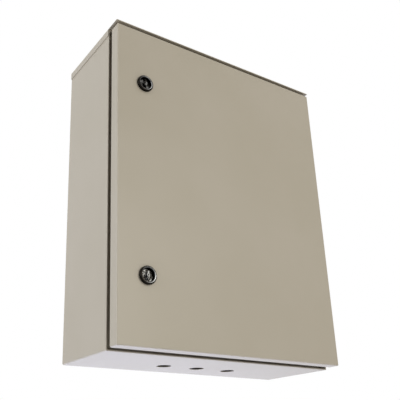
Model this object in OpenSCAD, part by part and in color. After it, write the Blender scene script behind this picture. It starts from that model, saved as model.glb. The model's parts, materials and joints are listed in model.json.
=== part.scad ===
// Wall-mounting electrical enclosure of folded sheet steel: a body with a roof sheet and a drip rim,
// one door on two concealed hinges, two quarter-turn locks, and a mounting plate inside.
// Millimetres. Origin on the back plane, at the centre of the four wall-fixing holes.
// +X is right as seen from the front, +Y goes into the wall, +Z is up.

/* [Body] */
// Width over the side walls
body_w = 400; // [300:10:600]
// Height over the top and bottom walls
body_h = 500; // [400:10:800]
// Depth from the wall to the front edge of the walls
body_d = 135; // [120:1:250]
// Thickness of the body's sheet
body_t = 1.2; // [1:0.1:1.6]
// Outer radius of every bend in the body, roof and door
bend_r = 2.6; // [2.3:0.1:4]
// Depth of the rain gutter that runs round the rim, behind the front edge of the walls
gutter_d = 12; // [8:1:16]
// Corner radius of the door opening
opening_r = 8; // [4:1:20]
// Thickness of the back panel
back_t = 1.5; // [1:0.1:2.5]
// Depth of the flange that welds the back panel to the walls
back_flange = 12; // [8:1:20]

/* [Wall fixings and cable entries] */
// Distance of each wall-fixing hole from the edges of the body
fixing_inset = 25; // [22:1:30]
// Diameter of the wall-fixing holes
fixing_d = 9; // [6:0.5:11]
// Number of cable entries in the bottom
entry_count = 3; // [1:1:4]
// Diameter of the cable entries
entry_d = 22.5; // [12:0.5:32]
// Distance between the centres of the cable entries
entry_pitch = 60; // [45:1:70]
// Distance of the cable entries from the wall
entry_from_wall = 56; // [45:1:70]

/* [Roof] */
// Thickness of the roof sheet
roof_t = 1.2; // [1:0.1:2]
// Height of the skirt that laps over each side wall
roof_skirt = 12; // [8:1:25]
// How far the lip over the door stops behind the door's front face
lip_setback = 1; // [0:0.5:10]

/* [Door] */
// Thickness of the door's sheet
door_t = 1.5; // [1:0.1:2]
// Depth of the door over its folded returns
door_return = 18.5; // [16:0.5:24]
// Open gap between the edge of the returns and the front edge of the walls
door_gap = 8.9; // [7:0.1:12]
// How far the door stands in from each side wall's face
door_side_gap = 0.8; // [0.4:0.1:3]
// How far the door stands above the bottom's face
door_bottom_gap = 3; // [1:0.5:8]
// How far the door stands below the top's face
door_top_gap = 5; // [2:0.5:10]
// Width of the foamed seal inside the door
seal_w = 12; // [8:1:14]
// Thickness of the foamed seal
seal_t = 8.5; // [7:0.5:10]
// Gap between the seal and the edge of the upstand
seal_gap = 0.2; // [0.1:0.1:0.5]

/* [Door rails] */
// Width of the flat top of each perforated rail
rail_top_w = 16; // [12:1:20]
// Height of the rails above the door's sheet
rail_h = 12; // [8:1:16]
// Thickness of the rails
rail_t = 1.2; // [1:0.1:1.5]
// Width of the foot on each side of a rail
rail_foot_w = 7; // [5:1:10]
// Gap between the left rail's foot and the nut of a lock; the right rail mirrors the left
rail_lock_gap = 12.5; // [6:0.5:40]
// Distance of a rail's ends from the seal
rail_end_gap = 30; // [10:1:60]
// Distance between the holes of a rail
rail_pitch = 25; // [12.5:12.5:50]
// Diameter of the holes of a rail
rail_hole_d = 4.8; // [3:0.2:7]

/* [Hinges] */
// Distance of the hinge axis from the door's side face
hinge_inset = 8.5; // [7.5:0.1:10]
// Distance of each hinge's middle from the ends of the body
hinge_from_end = 85; // [60:5:120]
// Diameter of the hinge pins
hinge_pin_d = 5; // [4:0.5:5]
// Outer diameter of the knuckles
knuckle_d = 8; // [7.5:0.5:10]
// Height of the middle knuckle
knuckle_h = 16; // [12:1:24]
// Height of each outer knuckle
knuckle_end_h = 9; // [6:1:14]
// Thickness of the hinge leaves
leaf_t = 2; // [1.5:0.1:2.5]
// Height of the hinge leaves
leaf_h = 66; // [60:1:80]
// Radial clearance of a pin in its knuckles
pin_clear = 0.05; // [0.02:0.01:0.1]
// Opening angle that the hinges allow
door_angle = 120; // [90:5:120]

/* [Locks] */
// Distance of the locks from the side wall
lock_inset = 47; // [46:1:60]
// Distance of each lock from the ends of the body
lock_from_end = 100; // [60:5:150]
// Diameter of the head
lock_head_d = 26.5; // [26:0.5:32]
// Height of the head over its washer
lock_head_h = 4; // [3:0.5:6]
// Diameter of the barrel behind the head
barrel_d = 22; // [20:0.5:23]
// Width of the barrel over its two flats
barrel_flat_w = 20; // [18:0.1:21]
// Diameter of the bore that the core turns in
core_d = 12; // [11:0.5:13]
// Diameter of the cup in the head
cup_d = 18; // [16:0.5:20]
// Depth of the cup
cup_depth = 7; // [5:0.5:8]
// Width of the square end that carries the cam
square_w = 8; // [7:0.5:9]
// Thickness of the cam
cam_t = 3; // [2:0.5:4]
// Width of the cam
cam_w = 18; // [16:1:20]
// How far the turned cam reaches behind the rim
cam_bite = 10; // [6:1:14]
// How far the cam is cranked back from its square to its tip
cam_crank = 12; // [8:1:16]
// Gap between the turned cam and the back of the rim
cam_gap = 0.8; // [0.4:0.1:2]

/* [Mounting plate] */
// Distance of the plate's long edges from the side walls' faces
plate_side_gap = 36; // [30:1:60]
// Distance of the plate's short edges from the top and bottom faces
plate_end_gap = 38; // [30:1:60]
// Thickness of the plate
plate_t = 2; // [1.5:0.1:3]
// Depth of the plate's folded edges
plate_fold = 9; // [5:1:12]
// Distance of the plate's fixing holes from its edges
plate_hole_inset = 16; // [14:1:25]
// Length of the spacers between back panel and plate
spacer_l = 15; // [13:1:30]
// Diameter of the studs that carry the plate
plate_stud_d = 8; // [6:0.5:8]

/* [Hidden] */
$fn = 48;

// Colours
paint = "#b5b0a1";
bright_zinc = "#b9bcbd";
yellow_zinc = "#b8a976";
galvanised = "#a9adaf";
black_foam = "#23221f";
black_rubber = "#1c1c1c";
dark_chrome = "#55565a";

// Clearances that every fit shares
eps = 0.01;
cut = 1;
hole_clear = 0.1;
shank_clear = 0.05;
swing_clear = 0.8;

// Depths, counted from the wall towards the front, so they are all negative
front_y = -body_d;
rim_y = front_y + gutter_d;
return_y = front_y - door_gap;
door_y = return_y - door_return;
door_in_y = door_y + door_t;
seal_y = door_in_y + seal_t;
upstand_y = seal_y + seal_gap;
lip_y = door_y + lip_setback;

// Door outline
door_w = body_w - 2 * door_side_gap;
door_h = body_h - door_bottom_gap - door_top_gap;
door_z = (door_bottom_gap - door_top_gap) / 2;

// Hem: the wall's sheet is folded back on itself at the front edge, and its inner ply leads to the gutter
hem_w = 2 * body_t;
gutter_r = 1;

// Hinge axis: its depth follows the seal, so that the case leaf's arm passes just behind it
arm_gap = 0.6;
arm_y = upstand_y + arm_gap;
axis_y = arm_y + leaf_t * 0.1;
axis_x = door_w / 2 - hinge_inset;
hinge_z = body_h / 2 - hinge_from_end;
knuckle_gap = 0.2;
rivet_d = 4;
rivet_head_d = 7.2;
rivet_head_h = 1.3;

// The rim is as wide as the swing of the door needs: the edge of its return turns about the axis on the
// radius sweep_r, and at the full opening angle it still passes in front of the rivets of the case leaf
sweep_r = norm([hinge_inset, return_y - axis_y]);
sweep_x = -sweep_r * cos(atan2(return_y - axis_y, hinge_inset) + door_angle);
rim_w = ceil(door_side_gap + hinge_inset + sweep_x + swing_clear + rivet_head_h + leaf_t + body_t);
open_w = body_w - 2 * rim_w;
open_h = body_h - 2 * rim_w;

// Door leaf: its foot fills the channel between the seal and the return
foot_clear = 1;
foot_x0 = open_w / 2 + body_t / 2 + seal_w / 2 + foot_clear;
foot_x1 = door_w / 2 - door_t - foot_clear;
hinge_stud_d = 5;
hinge_nut_af = 8;
hinge_nut_h = 4;
hinge_stud_l = 9;
fastener_z = leaf_h / 2 - 9;

// Lock
lock_x = -(body_w / 2 - lock_inset);
lock_z = body_h / 2 - lock_from_end;
washer_t = 1;
head_y = door_y - washer_t;
lock_nut_af = barrel_d + 5;
lock_nut_h = 5;
cam_tip_y = rim_y + body_t + cam_gap;
cam_y = cam_tip_y - cam_crank;
cam_seat = 0.1;
cam_crank_start = cam_w / 2 + 1;
cam_crank_run = cam_crank / 2;
cam_reach = lock_inset - rim_w + cam_bite;
core_disc_h = 1.6;
bit_pin_d = 5;
bit_w = 3;
bit_span = 11;
bit_below_face = 0.8;
cam_screw_d = 6;
cam_screw_l = 12;
cam_screw_af = 10;
cam_screw_head_h = 4;

// Rails
rail_x = -lock_x - lock_nut_af / 2 - rail_lock_gap - rail_foot_w - rail_top_w / 2;

// Mounting plate
plate_w = body_w - 2 * plate_side_gap;
plate_h = body_h - 2 * plate_end_gap;
plate_back_y = -(back_t + spacer_l);
plate_y = plate_back_y - plate_t;
plate_r = 4;
stud_x = plate_w / 2 - plate_hole_inset;
stud_z = plate_h / 2 - plate_hole_inset;
plate_washer_d = 16;
plate_washer_t = 1.6;
plate_nut_af = 13;
plate_nut_h = 6.5;
stud_over_nut = 4;
spacer_wall = 3;

// Earthing: one stud stands on the back panel below the plate, one on the door beside the hinge-side rail
earth_d = 6;
earth_l = 20;
earth_washer_d = 14;
earth_washer_t = 1.2;
earth_nut_af = 10;
earth_nut_h = 5;
earth_case_x = stud_x - 40;
earth_case_z = -(plate_h / 2 + plate_end_gap / 2);
earth_door_x = (rail_x + rail_top_w / 2 + rail_foot_w + open_w / 2 - seal_w / 2) / 2;
earth_door_z = -(open_h / 2 - 40);

// Plain shapes

// Rectangle with four rounded corners, centred
module rounded_rect(w, h, r) {
    square([w - 2 * r, h], center = true);
    square([w, h - 2 * r], center = true);
    for (x = [-1, 1], y = [-1, 1])
        translate([x * (w / 2 - r), y * (h / 2 - r)])
            circle(r);
}

// Rectangle from y = 0 to y = d whose two corners at y = 0 are rounded
module front_rounded(span, d, r) {
    translate([-span / 2, r])
        square([span, d - r]);
    translate([-span / 2 + r, 0])
        square([span - 2 * r, d]);
    for (x = [-1, 1])
        translate([x * (span / 2 - r), r])
            circle(r);
}

// Block that runs from y = 0 back to y = d, its four long edges rounded by r and its front edges by front_r
module folded_block(w, d, h, r, front_r) {
    intersection() {
        translate([0, d, 0])
            rotate([90, 0, 0])
                linear_extrude(d)
                    rounded_rect(w, h, r);
        translate([0, 0, -h / 2])
            linear_extrude(h)
                front_rounded(w, d, front_r);
        translate([-w / 2, 0, 0])
            rotate([0, 90, 0])
                linear_extrude(w)
                    front_rounded(h, d, front_r);
    }
}

// Flat sheet of a rounded rectangle, from y to y + t
module sheet_at(y, t, w, h, r) {
    translate([0, y + t, 0])
        rotate([90, 0, 0])
            linear_extrude(t)
                rounded_rect(w, h, r);
}

// Cylinder along Y, from y to y + l
module rod_y(y, l, d) {
    translate([0, y, 0])
        rotate([-90, 0, 0])
            cylinder(h = l, d = d);
}

// Hexagon nut or head along +Y from y = 0, with both rims chamfered at 30 degrees; no bore leaves it solid
module hex_y(af, h, bore) {
    corner_r = af / 2 / cos(30);
    face_r = af * 0.475;
    outer_r = corner_r + 0.5;
    chamfer_h = (outer_r - face_r) * tan(30);
    rotate([-90, 0, 0])
        difference() {
            intersection() {
                cylinder(h = h, r = corner_r, $fn = 6);
                rotate_extrude()
                    polygon([
                        [0, 0], [face_r, 0], [outer_r, chamfer_h],
                        [outer_r, h - chamfer_h], [face_r, h], [0, h]
                    ]);
            }
            if (bore > 0)
                translate([0, 0, -cut])
                    cylinder(h = h + 2 * cut, d = bore);
        }
}

// Flat washer along +Y from y = 0
module washer_y(d, t, bore) {
    difference() {
        rod_y(0, t, d);
        rod_y(-cut, t + 2 * cut, bore);
    }
}

// Places
module at_lock(side) {
    translate([lock_x, 0, side * lock_z])
        children();
}

module at_hinge(side) {
    translate([axis_x, axis_y, side * hinge_z])
        children();
}

module at_four(x, z) {
    for (i = [-1, 1], k = [-1, 1])
        translate([i * x, 0, k * z])
            children();
}

// Case

// Walls with a hemmed front edge, gutter, rim and upstand, folded from one sheet
module body_shell() {
    inner_r = bend_r - body_t;
    color(paint)
        difference() {
            union() {
                difference() {
                    translate([0, front_y, 0])
                        folded_block(body_w, body_d, body_h, bend_r, body_t);
                    translate([0, rim_y + body_t, 0])
                        folded_block(body_w - 2 * body_t, body_d, body_h - 2 * body_t, inner_r, inner_r);
                    sheet_at(front_y - cut, gutter_d + cut, body_w - 2 * hem_w, body_h - 2 * hem_w, gutter_r);
                }
                sheet_at(upstand_y, rim_y - upstand_y + body_t, open_w + 2 * body_t, open_h + 2 * body_t,
                         opening_r + body_t);
            }
            sheet_at(upstand_y - cut, rim_y - upstand_y + body_t + 2 * cut, open_w, open_h, opening_r);
            cable_entries();
            rivet_holes();
        }
}

// Row of cable entries through the bottom wall
module cable_entries() {
    for (i = [0:entry_count - 1])
        translate([(i - (entry_count - 1) / 2) * entry_pitch, -entry_from_wall, -body_h / 2 - cut])
            cylinder(h = body_t + 2 * cut, d = entry_d);
}

// Holes for the rivets of both case leaves, through the upstand on the hinge side
module rivet_holes() {
    for (side = [-1, 1])
        at_hinge(side)
            at_rivets()
                translate([-cut, 0, 0])
                    rotate([0, 90, 0])
                        cylinder(h = body_t + leaf_t + 2 * cut, d = rivet_d + 2 * shank_clear);
}

// Back panel: a tray whose flange is welded inside the walls
module back_panel() {
    w = body_w - 2 * body_t;
    h = body_h - 2 * body_t;
    inner_r = bend_r - back_t;
    color(paint)
        difference() {
            mirror([0, 1, 0])
                folded_block(w, back_flange, h, bend_r, bend_r);
            translate([0, -back_t, 0])
                mirror([0, 1, 0])
                    folded_block(w - 2 * back_t, back_flange, h - 2 * back_t, inner_r, inner_r);
            at_four(body_w / 2 - fixing_inset, body_h / 2 - fixing_inset)
                rod_y(-back_t - cut, back_t + 2 * cut, fixing_d);
        }
}

// Roof sheet: laps over both side walls and runs forward over the door as a thin lip
module roof_sheet() {
    color(paint)
        difference() {
            rotate([90, 0, 0])
                linear_extrude(-lip_y)
                    roof_section(body_w / 2 + roof_t, body_h / 2 + roof_t, roof_skirt + roof_t, bend_r);
            translate([0, cut, 0])
                rotate([90, 0, 0])
                    linear_extrude(-lip_y + 2 * cut)
                        roof_section(body_w / 2, body_h / 2, roof_skirt + cut, bend_r - roof_t);
            translate([-body_w, lip_y - cut, 0])
                cube([2 * body_w, front_y - lip_y + cut, body_h / 2]);
        }
}

// Section of the roof: a band of the given height under the level top, with its upper corners rounded
module roof_section(half_w, top, height, r) {
    translate([0, top])
        rotate(180)
            front_rounded(2 * half_w, height, r);
}

// Door

// Door: a pan with soft bends and four returns
module door_panel() {
    inner_r = bend_r - door_t;
    color(paint)
        difference() {
            translate([0, door_y, door_z])
                folded_block(door_w, door_return, door_h, bend_r, bend_r);
            translate([0, door_in_y, door_z])
                folded_block(door_w - 2 * door_t, door_return, door_h - 2 * door_t, inner_r, inner_r);
            for (side = [-1, 1])
                at_lock(side)
                    flatted_rod(door_y - cut, door_t + 2 * cut, hole_clear);
        }
}

// Foamed seal on the door, opposite the edge of the upstand
module door_seal() {
    grow = body_t + seal_w;
    shrink = body_t - seal_w;
    color(black_foam)
        difference() {
            sheet_at(door_in_y, seal_t, open_w + grow, open_h + grow, opening_r + grow / 2);
            sheet_at(door_in_y - cut, seal_t + 2 * cut, open_w + shrink, open_h + shrink,
                     max(opening_r + shrink / 2, 1));
        }
}

// Perforated rail of hat section, welded to the door by its feet
module door_rail(x) {
    l = open_h - seal_w - 2 * rail_end_gap;
    holes = floor((l / 2 - rail_hole_d) / rail_pitch);
    color(paint)
        difference() {
            translate([x, door_in_y, -l / 2])
                linear_extrude(l)
                    difference() {
                        union() {
                            translate([-rail_top_w / 2 - rail_foot_w, 0])
                                square([rail_top_w + 2 * rail_foot_w, rail_t]);
                            translate([-rail_top_w / 2, 0])
                                square([rail_top_w, rail_h]);
                        }
                        translate([-rail_top_w / 2 + rail_t, -cut])
                            square([rail_top_w - 2 * rail_t, rail_h - rail_t + cut]);
                    }
            for (i = [-holes:holes])
                translate([x, 0, i * rail_pitch])
                    rod_y(door_in_y + rail_h - rail_t - cut, rail_t + 2 * cut, rail_hole_d);
        }
}

module door_rail_left() {
    door_rail(-rail_x);
}

module door_rail_right() {
    door_rail(rail_x);
}

// Hinges, each drawn about its own axis

// Inner face of the upstand, as seen from a hinge's axis
upstand_in = open_w / 2 - axis_x;

// The two rivets of a case leaf, starting at the inner face of the upstand
module at_rivets() {
    rivet_y = (arm_y + rim_y) / 2 - axis_y;
    for (k = [-1, 1])
        translate([upstand_in, rivet_y, k * fastener_z])
            children();
}

// Case leaf: a flange riveted to the upstand, and an arm that ends in the middle knuckle
module hinge_leaf_case(side) {
    flange_gap = 0.5;
    leaf_x = upstand_in + body_t;
    color(bright_zinc)
        at_hinge(side)
            difference() {
                union() {
                    translate([leaf_x, arm_y - axis_y, -leaf_h / 2])
                        cube([leaf_t, rim_y - arm_y - flange_gap, leaf_h]);
                    translate([leaf_x, arm_y - axis_y, -knuckle_h / 2])
                        cube([-leaf_x, leaf_t, knuckle_h]);
                    translate([0, 0, -knuckle_h / 2])
                        cylinder(h = knuckle_h, d = knuckle_d);
                }
                pin_bore();
                at_rivets()
                    translate([-cut, 0, 0])
                        rotate([0, 90, 0])
                            cylinder(h = body_t + leaf_t + 2 * cut, d = rivet_d + 2 * shank_clear);
            }
}

// Door leaf: a foot bolted to the door, and a web that ends in the two outer knuckles
module hinge_leaf_door(side) {
    foot_y = door_in_y - axis_y;
    web_x = knuckle_d / 2 - leaf_t;
    color(bright_zinc)
        at_hinge(side)
            difference() {
                union() {
                    translate([foot_x0 - axis_x, foot_y, -leaf_h / 2])
                        cube([foot_x1 - foot_x0, leaf_t, leaf_h]);
                    for (k = [-1, 1])
                        translate([0, 0, k * (knuckle_h / 2 + knuckle_gap + knuckle_end_h / 2)]) {
                            translate([web_x, foot_y, -knuckle_end_h / 2])
                                cube([leaf_t, -foot_y, knuckle_end_h]);
                            cylinder(h = knuckle_end_h, d = knuckle_d, center = true);
                        }
                }
                pin_bore();
                at_foot()
                    rod_y(foot_y - cut, leaf_t + 2 * cut, hinge_stud_d + 2 * hole_clear);
            }
}

// The two fasteners of a door leaf, on the middle line of its foot
module at_foot() {
    for (k = [-1, 1])
        translate([(foot_x0 + foot_x1) / 2 - axis_x, 0, k * fastener_z])
            children();
}

module pin_bore() {
    translate([0, 0, -leaf_h / 2])
        cylinder(h = leaf_h, d = hinge_pin_d + 2 * pin_clear);
}

// Headed pin that is drawn out upwards to lift the door off
module hinge_pin(side) {
    head_h = 2;
    stack = knuckle_h / 2 + knuckle_gap + knuckle_end_h;
    color(bright_zinc)
        at_hinge(side) {
            translate([0, 0, -stack - 1])
                cylinder(h = 2 * stack + 1 + pin_clear + eps, d = hinge_pin_d);
            translate([0, 0, stack + pin_clear])
                cylinder(h = head_h, d1 = knuckle_d, d2 = knuckle_d - 1.2);
            translate([0, 0, -stack - 1 - 0.8])
                cylinder(h = 0.8, d1 = hinge_pin_d - 1.6, d2 = hinge_pin_d);
        }
}

// Rivets of both case leaves
module hinge_rivets() {
    grip = body_t + leaf_t;
    color(bright_zinc)
        for (side = [-1, 1])
            at_hinge(side)
                at_rivets()
                    rotate([0, 90, 0]) {
                        cylinder(h = grip, d = rivet_d);
                        translate([0, 0, grip])
                            cylinder(h = rivet_head_h, d1 = rivet_head_d, d2 = rivet_d);
                        translate([0, 0, -rivet_head_h])
                            cylinder(h = rivet_head_h, d1 = rivet_d, d2 = rivet_head_d);
                    }
}

// Weld studs on the door, two for each door leaf
module hinge_studs() {
    color(bright_zinc)
        for (side = [-1, 1])
            at_hinge(side)
                at_foot()
                    rod_y(door_in_y - axis_y, hinge_stud_l, hinge_stud_d);
}

// Nuts that hold the door leaves on their studs
module hinge_nuts() {
    color(bright_zinc)
        for (side = [-1, 1])
            at_hinge(side)
                at_foot()
                    translate([0, door_in_y + leaf_t - axis_y, 0])
                        hex_y(hinge_nut_af, hinge_nut_h, hinge_stud_d + 2 * shank_clear);
}

// Locks, each drawn about its own axis

// Rod along Y with two flats left and right, as the barrel of a lock has
module flatted_rod(y, l, clear) {
    intersection() {
        rod_y(y, l, barrel_d + 2 * clear);
        translate([-barrel_flat_w / 2 - clear, y, -barrel_d])
            cube([barrel_flat_w + 2 * clear, l, 2 * barrel_d]);
    }
}

// Housing: a turned head with a cup, and a flatted barrel that passes through the door
module lock_housing(side) {
    rim_round = 1.4;
    cup_chamfer = 0.8;
    head_front = head_y - lock_head_h;
    color(dark_chrome)
        at_lock(side)
            difference() {
                union() {
                    translate([0, head_front, 0])
                        rotate([-90, 0, 0])
                            rotate_extrude()
                                turned_head(lock_head_d / 2, lock_head_h, rim_round);
                    flatted_rod(head_y - eps, cam_y - cam_seat - head_y + eps, 0);
                }
                rod_y(head_front - cut, cup_depth + cut, cup_d);
                translate([0, head_front - eps, 0])
                    rotate([-90, 0, 0])
                        cylinder(h = cup_chamfer + eps, d1 = cup_d + 2 * cup_chamfer, d2 = cup_d);
                rod_y(head_front, cam_y - head_front, core_d);
            }
}

// Half section of the head: a disc with its front rim rounded
module turned_head(r, h, round) {
    translate([0, round])
        square([r, h - round]);
    square([r - round, h]);
    translate([r - round, round])
        circle(round);
}

// Rubber washer under the head
module lock_washer(side) {
    color(black_rubber)
        at_lock(side)
            translate([0, head_y, 0])
                washer_y(lock_head_d - 1.6, washer_t, barrel_d + 2 * hole_clear);
}

// Hexagon nut that clamps the housing to the door, with two of its flats upright
module lock_nut(side) {
    color(bright_zinc)
        at_lock(side)
            translate([0, door_in_y, 0])
                rotate([0, 30, 0])
                    hex_y(lock_nut_af, lock_nut_h, barrel_d + 2 * shank_clear);
}

// Turning core: a double-bit insert in the cup, a round stem, and a square end for the cam
module lock_core(side) {
    floor_y = head_y - lock_head_h + cup_depth;
    disc_y = floor_y - core_disc_h;
    face_y = head_y - lock_head_h + bit_below_face;
    color(dark_chrome)
        at_lock(side)
            difference() {
                union() {
                    rod_y(disc_y - 2 * shank_clear, core_disc_h, cup_d - 4 * shank_clear);
                    rod_y(disc_y - eps, cam_y - cam_seat - disc_y, core_d - 2 * shank_clear);
                    rod_y(face_y, disc_y - face_y, bit_pin_d);
                    translate([-bit_w / 2, face_y, -bit_span / 2])
                        cube([bit_w, disc_y - face_y, bit_span]);
                    translate([-square_w / 2, cam_y - cam_seat - 2 * eps, -square_w / 2])
                        cube([square_w, cam_seat + cam_t + 2 * eps, square_w]);
                }
                rod_y(cam_y + cam_t - cam_screw_l, cam_screw_l + cut, cam_screw_d);
            }
}

// Cam: a cranked plate with a square hole, hanging down when the lock is open
module lock_cam(side) {
    color(yellow_zinc)
        at_lock(side)
            difference() {
                intersection() {
                    translate([-cam_w / 2, cam_y, 0])
                        rotate([0, 90, 0])
                            linear_extrude(cam_w)
                                cam_side();
                    translate([0, cam_y + cam_crank + cam_t, 0])
                        rotate([90, 0, 0])
                            linear_extrude(cam_crank + cam_t)
                                cam_outline();
                }
                translate([-square_w / 2 - shank_clear, cam_y - cut, -square_w / 2 - shank_clear])
                    cube([square_w + 2 * shank_clear, cam_t + 2 * cut, square_w + 2 * shank_clear]);
            }
}

// Side view of the cam: x is the way from its axis to its tip, y the way back
module cam_side() {
    start = cam_crank_start;
    end = start + cam_crank_run;
    slant = cam_t * (norm([cam_crank_run, cam_crank]) - cam_crank_run) / cam_crank;
    polygon([
        [-cam_w / 2, 0], [start + slant, 0], [end + slant, cam_crank], [cam_reach, cam_crank],
        [cam_reach, cam_crank + cam_t], [end, cam_crank + cam_t], [start, cam_t], [-cam_w / 2, cam_t]
    ]);
}

// Front view of the cam, with a round head and a tip with round corners
module cam_outline() {
    tip_r = cam_w / 4;
    circle(d = cam_w);
    translate([-cam_w / 2, -cam_reach + tip_r])
        square([cam_w, cam_reach - tip_r]);
    translate([-cam_w / 2 + tip_r, -cam_reach])
        square([cam_w - 2 * tip_r, tip_r + eps]);
    for (i = [-1, 1])
        translate([i * (cam_w / 2 - tip_r), -cam_reach + tip_r])
            circle(tip_r);
}

// Hexagon screw with a collar that holds the cam on the square
module cam_screw(side) {
    collar_t = 1.2;
    color(bright_zinc)
        at_lock(side)
            translate([0, cam_y + cam_t, 0]) {
                rod_y(1 - cam_screw_l, cam_screw_l - 1 + eps, cam_screw_d - 2 * shank_clear);
                rod_y(0, collar_t, cam_w - 4);
                translate([0, collar_t - eps, 0])
                    hex_y(cam_screw_af, cam_screw_head_h, 0);
            }
}

// Mounting plate and its fixings

// Plate with both long edges folded back
module mounting_plate() {
    color(galvanised)
        difference() {
            union() {
                sheet_at(plate_y, plate_t, plate_w, plate_h, plate_r);
                for (i = [-1, 1])
                    translate([i * (plate_w / 2 - plate_t / 2) - plate_t / 2, plate_y + plate_t / 2,
                               -plate_h / 2 + 2 * plate_r])
                        cube([plate_t, plate_fold - plate_t / 2, plate_h - 4 * plate_r]);
            }
            at_four(stud_x, stud_z)
                rod_y(plate_y - cut, plate_t + 2 * cut, plate_stud_d + 1);
        }
}

// Weld studs on the back panel
module plate_studs() {
    l = spacer_l + plate_t + plate_washer_t + plate_nut_h + stud_over_nut;
    color(bright_zinc)
        at_four(stud_x, stud_z)
            rod_y(-back_t - l, l, plate_stud_d);
}

// Sleeves that hold the plate off the back panel
module plate_spacers() {
    color(bright_zinc)
        at_four(stud_x, stud_z)
            translate([0, plate_back_y, 0])
                washer_y(plate_stud_d + 2 * spacer_wall, spacer_l, plate_stud_d + 2 * hole_clear);
}

module plate_washers() {
    color(bright_zinc)
        at_four(stud_x, stud_z)
            translate([0, plate_y - plate_washer_t, 0])
                washer_y(plate_washer_d, plate_washer_t, plate_stud_d + 2 * hole_clear);
}

module plate_nuts() {
    color(bright_zinc)
        at_four(stud_x, stud_z)
            translate([0, plate_y - plate_washer_t - plate_nut_h, 0])
                hex_y(plate_nut_af, plate_nut_h, plate_stud_d + 2 * shank_clear);
}

// Earthing points: stud, washer and nut

module earth_stud_case() {
    color(bright_zinc)
        translate([earth_case_x, -back_t - earth_l, earth_case_z])
            rod_y(0, earth_l, earth_d);
}

module earth_washer_case() {
    color(bright_zinc)
        translate([earth_case_x, -back_t - earth_washer_t, earth_case_z])
            washer_y(earth_washer_d, earth_washer_t, earth_d + 2 * hole_clear);
}

module earth_nut_case() {
    color(bright_zinc)
        translate([earth_case_x, -back_t - earth_washer_t - earth_nut_h, earth_case_z])
            hex_y(earth_nut_af, earth_nut_h, earth_d + 2 * shank_clear);
}

module earth_stud_door() {
    color(bright_zinc)
        translate([earth_door_x, door_in_y, earth_door_z])
            rod_y(0, earth_l, earth_d);
}

module earth_washer_door() {
    color(bright_zinc)
        translate([earth_door_x, door_in_y, earth_door_z])
            washer_y(earth_washer_d, earth_washer_t, earth_d + 2 * hole_clear);
}

module earth_nut_door() {
    color(bright_zinc)
        translate([earth_door_x, door_in_y + earth_washer_t, earth_door_z])
            hex_y(earth_nut_af, earth_nut_h, earth_d + 2 * shank_clear);
}

body_shell();
back_panel();
roof_sheet();
door_panel();
door_seal();
door_rail_left();
door_rail_right();
hinge_leaf_case(1);  // hinge_leaf_case_upper
hinge_leaf_case(-1);  // hinge_leaf_case_lower
hinge_leaf_door(1);  // hinge_leaf_door_upper
hinge_leaf_door(-1);  // hinge_leaf_door_lower
hinge_pin(1);  // hinge_pin_upper
hinge_pin(-1);  // hinge_pin_lower
hinge_rivets();
hinge_studs();
hinge_nuts();
lock_housing(1);  // lock_housing_upper
lock_housing(-1);  // lock_housing_lower
lock_washer(1);  // lock_washer_upper
lock_washer(-1);  // lock_washer_lower
lock_nut(1);  // lock_nut_upper
lock_nut(-1);  // lock_nut_lower
lock_core(1);  // lock_core_upper
lock_core(-1);  // lock_core_lower
lock_cam(1);  // lock_cam_upper
lock_cam(-1);  // lock_cam_lower
cam_screw(1);  // cam_screw_upper
cam_screw(-1);  // cam_screw_lower
mounting_plate();
plate_studs();
plate_spacers();
plate_washers();
plate_nuts();
earth_stud_case();
earth_washer_case();
earth_nut_case();
earth_stud_door();
earth_washer_door();
earth_nut_door();
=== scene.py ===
"""Looks of a wall-mounting sheet-steel enclosure: powder coat, zinc, foam seal, locks, threads and welds."""

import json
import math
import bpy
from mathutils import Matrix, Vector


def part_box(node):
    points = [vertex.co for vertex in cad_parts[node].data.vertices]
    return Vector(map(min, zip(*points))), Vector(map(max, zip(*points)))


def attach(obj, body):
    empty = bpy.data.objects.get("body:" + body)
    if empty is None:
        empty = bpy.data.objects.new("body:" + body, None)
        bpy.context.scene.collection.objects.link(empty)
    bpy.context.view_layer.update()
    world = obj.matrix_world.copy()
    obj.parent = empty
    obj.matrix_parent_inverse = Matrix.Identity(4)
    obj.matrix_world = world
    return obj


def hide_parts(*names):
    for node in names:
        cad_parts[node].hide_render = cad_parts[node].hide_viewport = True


bl_info = {
    "name": "Sheet Steel Enclosure",
    "version": (1, 0, 0),
    "blender": (4, 5, 0),
    "location": "3D View > Sidebar > Enclosure",
    "description": "Dresses the packed enclosure in powder coat, zinc, foam and dark chrome, and lights it",
    "category": "Object",
}

import bmesh
import bpy
import numpy as np
from bpy.props import FloatProperty, FloatVectorProperty, IntProperty, PointerProperty
from mathutils import Matrix, Vector

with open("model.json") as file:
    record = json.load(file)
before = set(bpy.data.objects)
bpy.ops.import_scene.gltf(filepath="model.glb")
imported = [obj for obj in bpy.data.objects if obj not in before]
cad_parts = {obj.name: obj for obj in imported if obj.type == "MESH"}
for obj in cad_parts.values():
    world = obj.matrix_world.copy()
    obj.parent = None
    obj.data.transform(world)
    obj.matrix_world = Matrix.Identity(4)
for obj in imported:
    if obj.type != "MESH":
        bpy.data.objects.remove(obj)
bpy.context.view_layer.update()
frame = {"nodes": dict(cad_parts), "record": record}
MM = 0.001

PAINTED = ("body_shell", "back_panel", "roof_sheet", "door_panel", "door_rail_left", "door_rail_right")
# The locks and the hinges come in pairs
HEIGHTS = ("upper", "lower")
FULL_TURN = 2 * math.pi


def linear(code):
    """Linear RGBA of an sRGB hex colour, each channel taken through the sRGB curve."""
    channels = [int(code[i:i + 2], 16) / 255 for i in (1, 3, 5)]
    return tuple(c / 12.92 if c <= 0.04045 else ((c + 0.055) / 1.055) ** 2.4 for c in channels) + (1.0,)


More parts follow.
